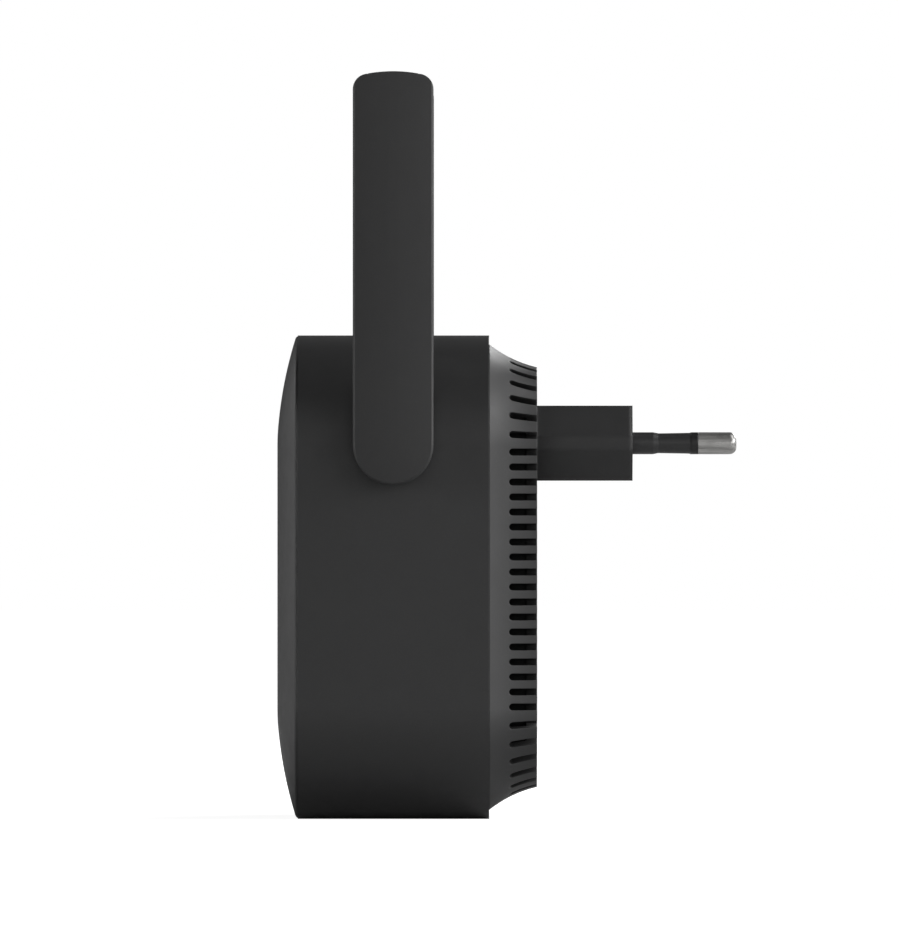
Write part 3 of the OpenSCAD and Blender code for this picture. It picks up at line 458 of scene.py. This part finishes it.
def softbox(name, azimuth, elevation, power):
    """A square soft light that looks at the object's middle."""
    data = bpy.data.lights.new(name, "AREA")
    data.shape = "SQUARE"
    data.size = LIGHT_SIZE
    data.energy = power
    lamp = bpy.data.objects.new(name, data)
    towards = direction(azimuth, elevation)
    lamp.location = object_middle + towards * LIGHT_DISTANCE
    lamp.rotation_euler = towards.to_track_quat("Z", "Y").to_euler()
    lamp.visible_camera = False
    bpy.context.scene.collection.objects.link(lamp)


# each soft light's azimuth, elevation and power in watts
LIGHTS = {
    "camera_side": (90, 4, 0.8),
    "camera_side_high": (90, 28, 0.55),
    "right_rear": (120, 8, 1.35),
    "rear_quarter": (140, 14, 1.8),
    "plug_side_right": (160, 12, 2.4),
    "plug_side_right_high": (160, 40, 1.7),
    "plug_side": (180, 20, 7.0),
    "plug_side_high": (180, 60, 3.1),
    "far_rear": (240, 20, 8.5),
    "far_front_high": (300, 40, 0.75),
    "far_front": (320, 10, 1.15),
    "front_right": (25, 4, 5.5),
}
for light_name, settings in LIGHTS.items():
    softbox(light_name, *settings)


def build_world(backdrop, fill):
    """A white backdrop where the camera looks past the object, and a weaker even fill light."""
    world = bpy.data.worlds.new("studio")
    world.use_nodes = True
    tree = world.node_tree
    tree.nodes.clear()
    seen = add(tree, "ShaderNodeLightPath").outputs["Is Camera Ray"]
    strength = remap(tree, seen, 0.0, 1.0, fill, backdrop)
    glow = add(tree, "ShaderNodeBackground", {"Color": (1.0, 1.0, 1.0, 1.0), "Strength": strength})
    output = add(tree, "ShaderNodeOutputWorld")
    tree.links.new(glow.outputs[0], output.inputs["Surface"])
    bpy.context.scene.world = world


build_world(backdrop=1.0, fill=0.02)

FLOOR_SIZE = 12.0
FLOOR_GREY = (0.55, 0.55, 0.55)
# the floor's glow near the object, and the distances over which it rises to the backdrop's
NEAR_GLOW = 0.88
GLOW_FROM = 0.2
GLOW_TO = 0.8


def build_floor():
    """A pale floor under the object. It glows, and more so away from the object, to run into the backdrop."""
    half = FLOOR_SIZE / 2
    mesh = bpy.data.meshes.new("floor")
    corners = [(-half, -half, 0.0), (half, -half, 0.0), (half, half, 0.0), (-half, half, 0.0)]
    mesh.from_pydata(corners, [], [(0, 1, 2, 3)])
    floor = bpy.data.objects.new("floor", mesh)
    floor.location = (0.0, 0.0, object_low.z)
    bpy.context.scene.collection.objects.link(floor)
    material, tree = new_tree("floor_look")
    seen = add(tree, "ShaderNodeLightPath").outputs["Is Camera Ray"]
    away = add(tree, "ShaderNodeVectorMath", {0: object_coords(tree)}, operation="LENGTH").outputs["Value"]
    glow = remap(tree, away, GLOW_FROM, GLOW_TO, NEAR_GLOW, 1.0)
    mesh.materials.append(with_surface(material, tree, {
        "Base Color": rgba(FLOOR_GREY), "Roughness": 0.9, "Specular IOR Level": 0.0,
        "Emission Color": (1.0, 1.0, 1.0, 1.0), "Emission Strength": times(tree, seen, glow),
    }))


build_floor()


# Camera --------------------------------------------------------------------------

# the height that the picture takes in, and the point at its middle
VIEW_HEIGHT = 171.6 * MM
VIEW_CENTRE = Vector((30 * MM, -33.41 * MM, -5.26 * MM))
# the camera stands far off on the object's right, so the view is almost parallel
VIEW_SIDE = direction(90, 0)
CAMERA_DISTANCE = 4.0
SENSOR = 36.0

camera_data = bpy.data.cameras.new("photo_view")
camera_data.sensor_width = SENSOR
camera_data.lens = SENSOR * CAMERA_DISTANCE / VIEW_HEIGHT
camera_data.clip_end = 50.0
camera = bpy.data.objects.new("photo_view", camera_data)
camera.location = VIEW_CENTRE + VIEW_SIDE * CAMERA_DISTANCE
camera.rotation_euler = VIEW_SIDE.to_track_quat("Z", "Y").to_euler()
bpy.context.scene.collection.objects.link(camera)
bpy.context.scene.camera = camera
bpy.context.scene.view_settings.view_transform = "Standard"
